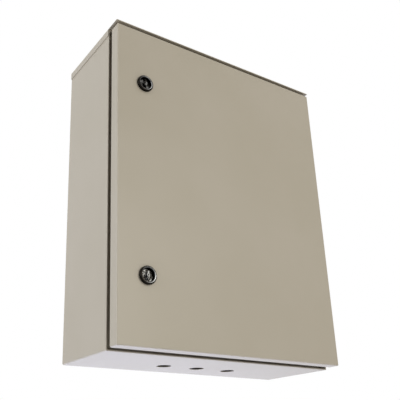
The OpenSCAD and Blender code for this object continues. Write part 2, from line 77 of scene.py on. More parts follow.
def colour(name, description, code):
    """Colour property with its default given as an sRGB hex value."""
    return FloatVectorProperty(
        name=name, description=description, default=linear(code), size=4, min=0, max=1, subtype="COLOR"
    )


def length(name, description, millimetres):
    """Length property with its default given in millimetres."""
    return FloatProperty(name=name, description=description, default=millimetres * MM, min=0, unit="LENGTH")


class EnclosureSizes(bpy.types.PropertyGroup):
    """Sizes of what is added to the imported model."""

    edge_round: length("Edge rounding", "Radius that paint and tumbling leave on a sheared edge", 0.3)
    core_round: length("Core rounding", "Radius that the key has worn on the edges of a lock's core", 0.5)
    nut_round: length("Nut rounding", "Radius on the edges of the locks' nuts and screws", 0.2)
    wall_depth: length("Wall depth", "Distance from the wall to the front edge of the body", 135)
    nose: length("Fold nose", "Radius inside the fold along the body's front edge", 1.1)
    seal_width: length("Seal width", "Width of the foamed seal at its foot", 12)
    seal_corner: length("Seal corner", "Radius of the seal's middle line at the corners of the door", 8.6)
    seal_dent: length("Seal dent", "Depth of the line that the upstand has pressed into the seal", 0.9)
    lock_head: length("Lock head", "Height of a lock's head over its washer", 4)
    lock_cup: length("Lock cup", "Diameter of the cup that takes the key", 19.5)
    lock_lead: length("Lock lead", "Radius of the rounding that leads the key into the cup", 1.2)
    lock_cup_depth: length("Lock cup depth", "Depth of the cup that takes the key", 7)
    lock_bore: length("Lock bore", "Diameter of the bore that the core turns in", 12)
    lock_barrel: length("Lock barrel", "Diameter over the barrel's thread", 22)
    lock_flats: length("Lock flats", "Width over the two flats of the barrel", 20)
    lock_rim: length("Lock rim", "Radius of the rim round a lock's head", 2.2)
    barrel_pitch: length("Barrel pitch", "Pitch of the thread on a lock's barrel", 1.5)
    plate_pitch: length("Plate stud pitch", "Pitch of the threads that carry the mounting plate", 1.25)
    earth_pitch: length("Earthing pitch", "Pitch of the threads of the earthing studs", 1)
    hinge_pitch: length("Hinge stud pitch", "Pitch of the threads of the hinges' studs", 0.8)
    weld_length: length("Weld length", "Length of one stitch weld on the back panel", 22)
    weld_width: length("Weld width", "Width of a stitch weld", 4)
    weld_step: length("Weld spacing", "Distance between the middles of the stitch welds", 92)
    rail_sheet: length("Rail sheet", "Thickness of the door rails' sheet", 1.2)
    spot_size: length("Spot weld", "Diameter of a spot weld's mark on a rail's foot", 5)
    spot_inset: length("Spot weld inset", "Distance of a spot weld's middle from the rail's side", 3.2)
    spot_end: length("Spot weld end", "Distance of the last spot weld's middle from the rail's end", 18)
    spot_count: IntProperty(
        name="Spot welds", description="Spot welds along each foot of a rail", default=7, min=2,
    )


class EnclosureColours(bpy.types.PropertyGroup):
    """Colours of the finishes."""

    paint: colour("Paint", "Pebble grey powder coat", "#ADA392")
    paint_thin: colour("Paint, thin", "The same coat where it lies a little thinner", "#AAA08E")
    zinc: colour("Zinc", "Bright zinc plating", "#C4C7C9")
    zinc_dull: colour("Zinc, dull", "Bright zinc plating that has been handled", "#A6A9AB")
    passivate: colour("Passivate", "Yellow chromate on zinc", "#CDB46A")
    passivate_pink: colour("Passivate, pink", "The rose tinge of the chromate film", "#BE8F78")
    passivate_green: colour("Passivate, green", "The green tinge of the chromate film", "#9FB078")
    galvanised: colour("Galvanised", "Pale crystals of hot-dip galvanised sheet", "#B9BDC0")
    galvanised_dark: colour("Galvanised, dark", "Dark crystals of hot-dip galvanised sheet", "#8D9296")
    foam: colour("Foam", "Skin of the foamed polyurethane seal", "#2A2926")
    # Painted shade: the darker tone inside the seal's open pores
    foam_pore_shade: colour("Foam, pores", "Open pores of the seal", "#161513")
    rubber: colour("Rubber", "Washers under the locks", "#191919")
    lock: colour("Lock", "Black chrome of the locks' housings", "#1F1C18")
    # Also the colour of the locks' painted highlights, reflections and glints, besides their rubbed places
    core: colour("Lock core", "Die-cast zinc where the key has rubbed it", "#C6C5C2")
    floor: colour("Floor", "Studio floor", "#F2F2F3")
    floor_glow: colour("Floor in reflections", "What paint and metal mirror of the floor", "#F2F5FF")


class EnclosureStage(bpy.types.PropertyGroup):
    """Camera, floor and light."""

    camera_place: FloatVectorProperty(
        name="Camera place", description="Where the camera stands", default=(-0.567, -0.8313, -0.3851),
        unit="LENGTH",
    )
    camera_aim: FloatVectorProperty(
        name="Camera aim", description="Point on the door's plane that the optical axis meets",
        default=(-0.1477, -0.1624, -0.0984), unit="LENGTH",
    )
    camera_roll: FloatProperty(
        name="Camera roll", description="Turn about the optical axis", default=math.radians(0.918),
        unit="ROTATION",
    )
    camera_lens: FloatProperty(
        name="Focal length", description="Focal length in millimetres for a 36 mm frame", default=55.15,
        min=1,
    )
    camera_shift: FloatVectorProperty(
        name="Camera shift", description="Shift of the frame off the optical axis", size=2,
        default=(0.125, 0.1),
    )
    floor_drop: FloatProperty(
        name="Floor drop", description="Height of the origin above the floor", default=0.95, unit="LENGTH",
    )
    floor_radius: FloatProperty(
        name="Floor radius", description="Radius of the round floor", default=12, min=1, unit="LENGTH",
    )
    floor_white: FloatProperty(
        name="Floor white", description="Share of plain white in what the camera sees of the floor",
        default=0.45, min=0, max=1, subtype="FACTOR",
    )
    sky_level: FloatProperty(name="Sky level", description="Light from all round", default=0.42, min=0)
    front_power: FloatProperty(name="Front lamp", description="Power in watts", default=26, min=0)
    left_power: FloatProperty(name="Left lamp", description="Power in watts", default=29, min=0)
    under_power: FloatProperty(name="Under lamp", description="Power in watts", default=13.2, min=0)
    front_tint: colour("Front tint", "Colour of the front lamp", "#FFFFF7")
    left_tint: colour("Left tint", "Colour of the left lamp", "#EDF4FF")
    under_tint: colour("Under tint", "Colour of the lamp under the object", "#CFDAFF")


def add(tree, kind, settings=None, values=None, links=None):
    """Add one node: its settings by name, its sockets' values, and links as socket: (node, output)."""
    made = tree.nodes.new(kind)
    for key, value in (settings or {}).items():
        setattr(made, key, value)
    for socket, value in (values or {}).items():
        made.inputs[socket].default_value = value
    for socket, (source, output) in (links or {}).items():
        tree.links.new(source.outputs[output], made.inputs[socket])
    return made


def start_material(name, **shader_values):
    """New material with a Principled shader and texture coordinates, as (material, tree, shader, place)."""
    material = bpy.data.materials.new(name)
    material.use_nodes = True
    tree = material.node_tree
    tree.nodes.clear()
    values = {key.replace("_", " "): value for key, value in shader_values.items()}
    shader = add(tree, "ShaderNodeBsdfPrincipled", values=values)
    add(tree, "ShaderNodeOutputMaterial", links={"Surface": (shader, "BSDF")})
    return material, tree, shader, add(tree, "ShaderNodeTexCoord")


# Sockets of the Mix node when it mixes colours, and when it mixes vectors
MIX_A, MIX_B, MIX_RESULT = 6, 7, 2
VECTOR_A, VECTOR_B, VECTOR_RESULT = 4, 5, 1


def powder_coat(colours):
    """Polyester powder coat, sprayed and baked on sheet steel: satin, with a faint orange peel."""
    material, tree, shader, place = start_material("polyester_powder_coat", IOR=1.5)
    # The coat drifts between two near greys over a hand's breadth, so a wide face isn't one flat tone
    drift = add(tree, "ShaderNodeTexNoise", values={"Scale": 1 / (130 * MM), "Detail": 2.0},
                links={"Vector": (place, "Object")})
    share = add(tree, "ShaderNodeMapRange", values={"From Min": 0.35, "From Max": 0.65},
                links={"Value": (drift, "Fac")})
    tone = add(tree, "ShaderNodeMix", settings={"data_type": "RGBA"},
               values={MIX_A: colours.paint, MIX_B: colours.paint_thin}, links={0: (share, "Result")})
    tree.links.new(tone.outputs[MIX_RESULT], shader.inputs["Base Color"])
    # Orange peel is about 1 mm from crest to crest; it is drawn at 2.4 mm, where a close view shows it
    peel = add(tree, "ShaderNodeTexNoise", values={"Scale": 1 / (2.4 * MM), "Detail": 1.5, "Roughness": 0.4},
               links={"Vector": (place, "Object")})
    relief = add(tree, "ShaderNodeBump", values={"Strength": 0.25, "Distance": 0.05 * MM},
                 links={"Height": (peel, "Fac")})
    tree.links.new(relief.outputs["Normal"], shader.inputs["Normal"])
    gloss = add(tree, "ShaderNodeMapRange", values={"To Min": 0.38, "To Max": 0.46},
                links={"Value": (peel, "Fac")})
    tree.links.new(gloss.outputs["Result"], shader.inputs["Roughness"])
    return material


def bright_zinc(colours):
    """Electroplated zinc, clear passivated: a cool silver with a cloudy, handled sheen."""
    material, tree, shader, place = start_material("bright_zinc_plating", Metallic=1.0)
    cloud = add(tree, "ShaderNodeTexNoise", values={"Scale": 1 / (9 * MM), "Detail": 4.0},
                links={"Vector": (place, "Object")})
    share = add(tree, "ShaderNodeMapRange", values={"From Min": 0.35, "From Max": 0.7},
                links={"Value": (cloud, "Fac")})
    tone = add(tree, "ShaderNodeMix", settings={"data_type": "RGBA"},
               values={MIX_A: colours.zinc, MIX_B: colours.zinc_dull}, links={0: (share, "Result")})
    tree.links.new(tone.outputs[MIX_RESULT], shader.inputs["Base Color"])
    gloss = add(tree, "ShaderNodeMapRange", values={"To Min": 0.22, "To Max": 0.42},
                links={"Value": (cloud, "Fac")})
    tree.links.new(gloss.outputs["Result"], shader.inputs["Roughness"])
    # Fine marks of the barrel that the parts are plated in, drawn at 0.5 mm
    marks = add(tree, "ShaderNodeTexNoise", values={"Scale": 1 / (0.5 * MM), "Detail": 2.0},
                links={"Vector": (place, "Object")})
    relief = add(tree, "ShaderNodeBump", values={"Strength": 0.2, "Distance": 0.02 * MM},
                 links={"Height": (marks, "Fac")})
    tree.links.new(relief.outputs["Normal"], shader.inputs["Normal"])
    return material


def yellow_passivate(colours):
    """Zinc with a yellow chromate film: straw, with rose and green tinges that wander over the part."""
    material, tree, shader, place = start_material("yellow_passivated_zinc", Metallic=1.0)
    tinge = add(tree, "ShaderNodeTexNoise", values={"Scale": 1 / (11 * MM), "Detail": 3.0, "Distortion": 0.8},
                links={"Vector": (place, "Object")})
    rose = add(tree, "ShaderNodeMapRange", values={"From Min": 0.5, "From Max": 0.72},
               links={"Value": (tinge, "Fac")})
    green = add(tree, "ShaderNodeMapRange", values={"From Min": 0.46, "From Max": 0.3},
                links={"Value": (tinge, "Fac")})
    warm = add(tree, "ShaderNodeMix", settings={"data_type": "RGBA"},
               values={MIX_A: colours.passivate, MIX_B: colours.passivate_pink}, links={0: (rose, "Result")})
    tone = add(tree, "ShaderNodeMix", settings={"data_type": "RGBA"}, values={MIX_B: colours.passivate_green},
               links={0: (green, "Result"), MIX_A: (warm, MIX_RESULT)})
    tree.links.new(tone.outputs[MIX_RESULT], shader.inputs["Base Color"])
    gloss = add(tree, "ShaderNodeMapRange", values={"To Min": 0.24, "To Max": 0.4},
                links={"Value": (tinge, "Fac")})
    tree.links.new(gloss.outputs["Result"], shader.inputs["Roughness"])
    return material


def galvanised_sheet(colours):
    """Hot-dip galvanised steel: flat crystals about 9 mm across, each with its own grey and gloss."""
    material, tree, shader, place = start_material("hot_dip_galvanised_steel", Metallic=1.0)
    wobble = add(tree, "ShaderNodeTexNoise", values={"Scale": 1 / (6 * MM), "Detail": 2.0},
                 links={"Vector": (place, "Object")})
    # The noise runs from 0 to 1 m, so this share of it shifts the crystals' edges by up to 4 mm
    bent = add(tree, "ShaderNodeMix", settings={"data_type": "VECTOR"}, values={0: 4 * MM},
               links={VECTOR_A: (place, "Object"), VECTOR_B: (wobble, "Color")})
    crystals = add(tree, "ShaderNodeTexVoronoi", values={"Scale": 1 / (9 * MM)},
                   links={"Vector": (bent, VECTOR_RESULT)})
    split = add(tree, "ShaderNodeSeparateColor", links={"Color": (crystals, "Color")})
    tone = add(tree, "ShaderNodeMix", settings={"data_type": "RGBA"},
               values={MIX_A: colours.galvanised, MIX_B: colours.galvanised_dark}, links={0: (split, "Red")})
    tree.links.new(tone.outputs[MIX_RESULT], shader.inputs["Base Color"])
    gloss = add(tree, "ShaderNodeMapRange", values={"To Min": 0.3, "To Max": 0.5},
                links={"Value": (split, "Green")})
    tree.links.new(gloss.outputs["Result"], shader.inputs["Roughness"])
    return material


def foamed_polyurethane(colours):
    """Foamed-in-place polyurethane: a dull black skin with fine open pores, drawn darker as painted shade."""
    material, tree, shader, place = start_material("foamed_polyurethane", Roughness=0.85, IOR=1.45)
    # Pores are about 0.4 mm; they are drawn at 0.9 mm so that a close view shows them
    pores = add(tree, "ShaderNodeTexVoronoi", values={"Scale": 1 / (0.9 * MM)},
                links={"Vector": (place, "Object")})
    pore_relief_and_shade = add(tree, "ShaderNodeMapRange", values={"From Min": 0.1, "From Max": 0.45},
                    links={"Value": (pores, "Distance")})
    # Painted shade: the pores are drawn darker than the skin
    tone = add(tree, "ShaderNodeMix", settings={"data_type": "RGBA"},
               values={MIX_A: colours.foam_pore_shade, MIX_B: colours.foam}, links={0: (pore_relief_and_shade, "Result")})
    tree.links.new(tone.outputs[MIX_RESULT], shader.inputs["Base Color"])
    relief = add(tree, "ShaderNodeBump", values={"Strength": 0.6, "Distance": 0.15 * MM},
                 links={"Height": (pore_relief_and_shade, "Result")})
    tree.links.new(relief.outputs["Normal"], shader.inputs["Normal"])
    return material


def moulded_rubber(colours):
    """Moulded EPDM rubber: near black, soft sheen, with a bloom that dulls it in patches."""
    material, tree, shader, place = start_material("moulded_rubber", Base_Color=colours.rubber, IOR=1.52)
    bloom = add(tree, "ShaderNodeTexNoise", values={"Scale": 1 / (4 * MM), "Detail": 3.0},
                links={"Vector": (place, "Object")})
    gloss = add(tree, "ShaderNodeMapRange", values={"To Min": 0.45, "To Max": 0.7},
                links={"Value": (bloom, "Fac")})
    tree.links.new(gloss.outputs["Result"], shader.inputs["Roughness"])
    return material


def black_chrome(colours):
    """Die-cast zinc with black chrome: almost black, and a lighter grey where the attribute read below is set:
    the key's rubbing at the cup, and painted highlights and reflections on the housing.
    """
    material, tree, shader, place = start_material("black_chromed_die_casting", Metallic=1.0)
    # Lighter grey where this is set: the key's rubbing, and painted highlights and reflections
    wear = add(tree, "ShaderNodeAttribute", settings={"attribute_name": "wear"})
    tone = add(tree, "ShaderNodeMix", settings={"data_type": "RGBA"},
               values={MIX_A: colours.lock, MIX_B: colours.core}, links={0: (wear, "Fac")})
    tree.links.new(tone.outputs[MIX_RESULT], shader.inputs["Base Color"])
    # The casting's skin ripples by a few hundredths over 2 mm, which breaks the reflections up
    skin = add(tree, "ShaderNodeTexNoise", values={"Scale": 1 / (2 * MM), "Detail": 2.0},
               links={"Vector": (place, "Object")})
    relief = add(tree, "ShaderNodeBump", values={"Strength": 0.3, "Distance": 0.03 * MM},
                 links={"Height": (skin, "Fac")})
    tree.links.new(relief.outputs["Normal"], shader.inputs["Normal"])
    gloss = add(tree, "ShaderNodeMapRange", values={"To Min": 0.14, "To Max": 0.28},
                links={"Value": (skin, "Fac")})
    tree.links.new(gloss.outputs["Result"], shader.inputs["Roughness"])
    return material


def die_cast_zinc(colours):
    """Die-cast zinc of the cores: black chromed, and bright in patches and on the edges: partly the key's
    rubbing, partly painted glints.
    """
    material, tree, shader, place = start_material("die_cast_zinc", Metallic=1.0)
    wear = add(tree, "ShaderNodeAttribute", settings={"attribute_name": "wear"})
    skin = add(tree, "ShaderNodeTexNoise", values={"Scale": 1 / (3.5 * MM), "Detail": 3.0},
               links={"Vector": (place, "Object")})
    # Painted glints: noise patches and the rounded edges turn bright, partly standing for the key's rubbing
    glint_patch = add(tree, "ShaderNodeMapRange", values={"From Min": 0.5, "From Max": 0.62, "To Max": 0.3},
                links={"Value": (skin, "Fac")})
    bare_and_glint = add(tree, "ShaderNodeMath", settings={"operation": "MAXIMUM"},
               links={0: (wear, "Fac"), 1: (glint_patch, "Result")})
    tone = add(tree, "ShaderNodeMix", settings={"data_type": "RGBA"},
               values={MIX_A: colours.lock, MIX_B: colours.core}, links={0: (bare_and_glint, 0)})
    tree.links.new(tone.outputs[MIX_RESULT], shader.inputs["Base Color"])
    gloss = add(tree, "ShaderNodeMapRange", values={"To Min": 0.18, "To Max": 0.36},
                links={"Value": (skin, "Fac")})
    tree.links.new(gloss.outputs["Result"], shader.inputs["Roughness"])
    return material


MAKERS = {
    "paint": powder_coat,
    "zinc_plate": bright_zinc,
    "passivated_zinc": yellow_passivate,
    "galvanised": galvanised_sheet,
    "foam": foamed_polyurethane,
    "black_rubber": moulded_rubber,
    "lock_metal": black_chrome,
}
# Materials made so far, by slot
finishes = {}


def finish_for(slot):
    """Material for one of the record's slots, made when it is first asked for."""
    if slot not in finishes:
        finishes[slot] = MAKERS[slot](bpy.context.scene.enclosure_colours)
    return finishes[slot]


def slot_of(node):
    """Name of the record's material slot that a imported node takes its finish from."""
    return next(part["material_slot"] for part in frame["record"]["subparts"] if part["node"] == node)


def body_holding(node):
    """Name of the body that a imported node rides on."""
    bodies = frame["record"]["behaviour"]["bodies"]
    return next(body for body, nodes in bodies.items() if node in nodes)


def dress(*nodes):
    """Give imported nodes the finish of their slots."""
    for node in nodes:
        mesh = frame["nodes"][node].data
        mesh.materials.clear()
        mesh.materials.append(finish_for(slot_of(node)))


def finish_piece(piece, node, material=None):
    """Put a piece on the body and in the slot of the node that it stands for, which is hidden."""
    piece.data.materials.append(material or finish_for(slot_of(node)))
    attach(piece, body_holding(node))
    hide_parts(node)


def mesh_piece(name, points, faces, sharp_angle=40):
    """Object at the origin with a smooth-shaded mesh, its edges sharp where faces meet at a wider angle."""
    mesh = bpy.data.meshes.new(name)
    mesh.from_pydata(points.tolist(), [], faces.tolist())
    mesh.polygons.foreach_set("use_smooth", np.ones(len(mesh.polygons), dtype=bool))
    mesh.update()
    mesh.set_sharp_from_angle(angle=math.radians(sharp_angle))
    piece = bpy.data.objects.new(name, mesh)
    bpy.context.scene.collection.objects.link(piece)
    return piece


def grid_faces(rows, columns, close_rows):
    """Quads of a grid that always closes across its columns, and closes along its rows if asked."""
    last = rows if close_rows else rows - 1
    i, j = np.meshgrid(np.arange(last), np.arange(columns), indexing="ij")
    down = (i + 1) % rows
    right = (j + 1) % columns
    quads = [i * columns + j, i * columns + right, down * columns + right, down * columns + j]
    return np.stack(quads, axis=-1).reshape(-1, 4)


def outward(faces, points):
    """The same faces, turned over if the closed surface that they make has a negative volume."""
    a, b, c, d = (points[faces[:, k]] for k in range(4))
    volume = np.sum(np.cross(a, b) * c) + np.sum(np.cross(a, c) * d)
    return faces if volume > 0 else faces[:, ::-1]


def join_grids(grids):
    """Points and quads of several closed surfaces, each a (rows, columns, 3) grid closed both ways."""
    points, faces, count = [], [], 0
    for grid in grids:
        flat = grid.reshape(-1, 3)
        quads = grid_faces(grid.shape[0], grid.shape[1], close_rows=True)
        faces.append(outward(quads, flat) + count)
        points.append(flat)
        count += len(flat)
    return np.concatenate(points), np.concatenate(faces)


def weld_doubles(piece, distance=0.002 * MM):
    """Merge points that coincide at seams and poles, drop faces with no area, and face the rest outwards."""
    mesh = bmesh.new()
    mesh.from_mesh(piece.data)
    bmesh.ops.remove_doubles(mesh, verts=mesh.verts, dist=distance)
    bmesh.ops.dissolve_degenerate(mesh, edges=mesh.edges, dist=distance)
    bmesh.ops.recalc_face_normals(mesh, faces=mesh.faces)
    mesh.to_mesh(piece.data)
    mesh.free()


def solids_of(node):
    """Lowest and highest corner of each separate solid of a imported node.

    Points at one place share a number, and each edge hands its lower number on until none changes."""
    mesh = frame["nodes"][node].data
    points = np.empty(len(mesh.vertices) * 3)
    mesh.vertices.foreach_get("co", points)
    points = points.reshape(-1, 3)
    edges = np.empty(len(mesh.edges) * 2, dtype=np.int64)
    mesh.edges.foreach_get("vertices", edges)
    places, number = np.unique(np.round(points, 6), axis=0, return_inverse=True)
    ends = number.reshape(-1)[edges.reshape(-1, 2)]
    label = np.arange(len(places))
    while True:
        low = np.minimum(label[ends[:, 0]], label[ends[:, 1]])
        spread = label.copy()
        np.minimum.at(spread, ends[:, 0], low)
        np.minimum.at(spread, ends[:, 1], low)
        if np.array_equal(spread, label):
            break
        label = spread
    return [(places[label == k].min(axis=0), places[label == k].max(axis=0)) for k in np.unique(label)]


def sharp_edges(mesh):
    """Edges where two faces meet at more than 35 degrees."""
    return [e for e in mesh.edges if e.is_manifold and e.calc_face_angle() > math.radians(35)]


def softened(node, width, material=None, nose=None):
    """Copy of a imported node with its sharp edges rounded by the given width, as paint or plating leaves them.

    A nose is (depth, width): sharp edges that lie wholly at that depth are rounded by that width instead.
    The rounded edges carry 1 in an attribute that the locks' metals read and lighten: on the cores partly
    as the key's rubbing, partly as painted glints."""
    mesh = bmesh.new()
    mesh.from_mesh(frame["nodes"][node].data)
    bmesh.ops.remove_doubles(mesh, verts=mesh.verts, dist=0.001 * MM)
    bmesh.ops.dissolve_limit(
        mesh, angle_limit=math.radians(0.5), verts=mesh.verts, edges=mesh.edges, use_dissolve_boundaries=False
    )
    if nose:
        depth, nose_width = nose
        front = [e for e in sharp_edges(mesh) if all(abs(v.co.y - depth) < 0.01 * MM for v in e.verts)]
        bmesh.ops.bevel(mesh, geom=front, offset=nose_width, segments=5, profile=0.5, affect="EDGES")
    wear = mesh.faces.layers.float.new("wear")
    edges = sharp_edges(mesh)
    rounded = bmesh.ops.bevel(
        mesh, geom=edges, offset=width, segments=2, profile=0.5, affect="EDGES", clamp_overlap=True
    )
    # Marks the rounded faces, which the cores' metal paints bright: partly rubbing, partly painted glints
    for face in rounded["faces"]:
        face[wear] = 1
    bmesh.ops.triangulate(mesh, faces=[f for f in mesh.faces if len(f.verts) > 4])
    name = node + "_finished"
    made = bpy.data.meshes.new(name)
    mesh.to_mesh(made)
    mesh.free()
    made.polygons.foreach_set("use_smooth", np.ones(len(made.polygons), dtype=bool))
    made.set_sharp_from_angle(angle=math.radians(50))
    piece = bpy.data.objects.new(name, made)
    bpy.context.scene.collection.objects.link(piece)
    flat = piece.modifiers.new("flat_faces", "WEIGHTED_NORMAL")
    flat.keep_sharp = True
    finish_piece(piece, node, material)
    return piece


def rounded_rectangle(half_width, half_height, radius, straight_steps, corner_steps):
    """Points and outward directions along a rounded rectangle in the XZ plane, as two (n, 2) arrays.

    Each quarter starts on a corner's arc, centre + radius * (cos a, sin a), and its last direction is kept
    along the straight that leads to the next corner."""
    places, ways = [], []
    inner_x, inner_z = half_width - radius, half_height - radius
    centres = np.array([(inner_x, inner_z), (-inner_x, inner_z), (-inner_x, -inner_z), (inner_x, -inner_z)])
    for quarter in range(4):
        angle = (quarter + np.linspace(0, 1, corner_steps + 1)) * math.pi / 2
        way = np.stack([np.cos(angle), np.sin(angle)], axis=1)
        places.append(centres[quarter] + radius * way)
        ways.append(way)
        share = np.linspace(0, 1, straight_steps + 1)[1:-1, None]
        end = centres[(quarter + 1) % 4] + radius * way[-1]
        places.append(places[-1][-1] * (1 - share) + end * share)
        ways.append(np.repeat(way[-1:], len(share), axis=0))
    return np.concatenate(places), np.concatenate(ways)


def foam_bead(sizes):
    """Foamed seal of the door: a flat foot and a domed crown, carried along a rounded rectangle.

    Across the bead the half width is w * cos(a) and the height h * sin(a) ** 0.6 for a from 0 to pi, less a
    narrow dent exp(-(across / 1.3 mm) ** 2) where the upstand presses. The height swells and sinks along the
    path by 0.12 mm * (sin(s / 31 mm) + sin(s / 12.7 mm + 1) - 2), as foam does when the nozzle passes."""
    low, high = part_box("door_seal")
    half_x = (high[0] - low[0] - sizes.seal_width) / 2
    half_z = (high[2] - low[2] - sizes.seal_width) / 2
    places, ways = rounded_rectangle(half_x, half_z, sizes.seal_corner, straight_steps=90, corner_steps=10)
    steps = np.linalg.norm(np.roll(places, -1, axis=0) - places, axis=1)
    along = np.concatenate([[0], np.cumsum(steps)[:-1]])
    swell = 0.12 * MM * (np.sin(along / (31 * MM)) + np.sin(along / (12.7 * MM) + 1) - 2)
    angle = np.linspace(0, math.pi, 17)
    across = sizes.seal_width / 2 * np.cos(angle)
    height = (high[1] - low[1] + swell)[:, None] * np.sin(angle)[None, :] ** 0.6
    height -= sizes.seal_dent * np.exp(-(across[None, :] / (1.3 * MM)) ** 2)
    height[:, [0, -1]] = 0
    middle = np.array([(low[0] + high[0]) / 2, (low[2] + high[2]) / 2])
    flat = middle + places[:, None, :] + ways[:, None, :] * across[None, :, None]
    grid = np.stack([flat[..., 0], low[1] + height, flat[..., 1]], axis=-1)
    points, faces = join_grids([grid])
    piece = mesh_piece("foamed_seal", points, faces, sharp_angle=60)
    weld_doubles(piece)
    finish_piece(piece, "door_seal")


def thread_wave(turns):
    """Depth share of a V thread from 0 at the crest to 1 at the root: twice the distance to a whole turn."""
    return 2 * np.abs(turns - np.round(turns))


def threaded_rod(low, high, pitch, tip_high, columns=24, rows_per_pitch=5):
    """Closed grid of a threaded rod along Y whose radius follows the helix y / pitch - angle / full turn.

    The thread is 0.54 pitch deep, the tip has a 45 degree chamfer, and the end rows shrink to the axis."""
    radius = (high[0] - low[0]) / 2
    centre_x, centre_z = (low[0] + high[0]) / 2, (low[2] + high[2]) / 2
    run = high[1] - low[1]
    rows = int(run / pitch * rows_per_pitch)
    y = np.linspace(low[1], high[1], rows)
    angle = np.linspace(0, FULL_TURN, columns, endpoint=False)
    depth = 0.54 * pitch
    radii = radius - depth * thread_wave(y[:, None] / pitch - angle[None, :] / FULL_TURN)
    from_tip = (high[1] - y) if tip_high else (y - low[1])
    radii = np.minimum(radii, radius - depth + from_tip[:, None])
    y = np.concatenate([[low[1]], y, [high[1]]])
    radii = np.concatenate([np.zeros((1, columns)), radii, np.zeros((1, columns))])
    return np.stack([
        centre_x + radii * np.cos(angle),
        np.broadcast_to(y[:, None], radii.shape),
        centre_z + radii * np.sin(angle),
    ], axis=-1)


def threaded_studs(node, pitch, tip_high):
    """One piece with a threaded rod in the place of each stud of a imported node."""
    grids = [threaded_rod(low, high, pitch, tip_high) for low, high in solids_of(node)]
    points, faces = join_grids(grids)
    piece = mesh_piece(node + "_threaded", points, faces, sharp_angle=75)
    weld_doubles(piece)
    finish_piece(piece, node)


def arc(centre, radius, start, end, steps):
    """Points of an arc as (depth, radius) pairs: centre + radius * (cos a, sin a), angles in degrees."""
    angle = np.radians(np.linspace(start, end, steps))
    return np.stack([centre[0] + radius * np.cos(angle), centre[1] + radius * np.sin(angle)], axis=1)


def lock_housing(which, sizes):
    """Turned housing: the section of head, cup, bore and barrel, spun about the lock's axis.

    The section is a closed line of (depth, radius) points. On the barrel the radius follows a thread of
    0.4 pitch, and two flats cut it off at flat / abs(cos angle). The cup's edge is lightened by
    0.15 + 0.85 cos(a) ** 2, with a measured from the lower right: 0.15 all round for the key's rubbing, and
    a painted highlight on top, the bright crescent of reflected light. The rim is lightened by 0.12 cos(b),
    with b measured from the upper right, a painted reflection."""
    node = "lock_housing_" + which
    low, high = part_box(node)
    centre_x, centre_z = (low[0] + high[0]) / 2, (low[2] + high[2]) / 2
    head_r, cup_r = (high[0] - low[0]) / 2, sizes.lock_cup / 2
    bore_r, barrel_r = sizes.lock_bore / 2, sizes.lock_barrel / 2
    front, back = low[1], high[1]
    head_back, floor = front + sizes.lock_head, front + sizes.lock_cup_depth
    rim, lead = sizes.lock_rim, sizes.lock_lead
    rim_steps, lead_steps, rows_per_pitch = 9, 5, 6
    corner, bore_front, bore_back, barrel_tip = 0.3 * MM, 0.2 * MM, 0.4 * MM, 0.6 * MM
    rows = int((back - head_back) / sizes.barrel_pitch * rows_per_pitch)
    barrel = np.stack([np.linspace(back, head_back + 0.1 * MM, rows), np.full(rows, barrel_r)], axis=1)
    under_head = [(head_back, barrel_r), (head_back, head_r - corner), (head_back - corner, head_r)]
    section = np.concatenate([
        arc((front + rim, head_r - rim), rim, 90, 180, rim_steps),
        arc((front + lead, cup_r + lead), lead, 180, 270, lead_steps),
        [(floor - corner, cup_r), (floor, cup_r - corner), (floor, bore_r + bore_front)],
        [(floor + bore_front, bore_r), (back - bore_back, bore_r), (back, bore_r + bore_back)],
        barrel,
        under_head,
    ])
    angle = np.linspace(0, FULL_TURN, 96, endpoint=False)
    depth = np.repeat(section[:, :1], len(angle), axis=1)
    radii = np.repeat(section[:, 1:], len(angle), axis=1)
    first = len(section) - len(under_head) - rows
    cut = slice(first, first + rows)
    wave = thread_wave(depth[cut] / sizes.barrel_pitch - angle[None, :] / FULL_TURN)
    radii[cut] -= 0.4 * sizes.barrel_pitch * wave
    radii[cut] = np.minimum(radii[cut], barrel_r - barrel_tip + (back - depth[cut]))
    flats = sizes.lock_flats / 2 / np.maximum(np.abs(np.cos(angle)), 0.01)
    radii[cut.start:cut.stop + 1] = np.minimum(radii[cut.start:cut.stop + 1], flats[None, :])
    grid = np.stack([centre_x + radii * np.cos(angle), depth, centre_z + radii * np.sin(angle)], axis=-1)
    points, faces = join_grids([grid])
    piece = mesh_piece("lock_housing_%s_turned" % which, points, faces, sharp_angle=38)
    rubbed = np.zeros((len(section), len(angle)), dtype=np.float32)
    cup_edge = slice(rim_steps, rim_steps + lead_steps - 1)
    # Painted highlight: the cup's edge is lighter to the lower right, over an even share for the key's rubbing
    rubbed[cup_edge] = 0.15 + 0.85 * np.maximum(np.cos(angle + math.pi / 4), 0) ** 2
    # Painted reflection: the rim is lighter towards the upper right
    rubbed[:rim_steps - 1] = 0.12 * np.maximum(np.cos(angle - math.pi / 3), 0)
    piece.data.attributes.new("wear", "FLOAT", "FACE").data.foreach_set("value", rubbed.ravel())
    finish_piece(piece, node)


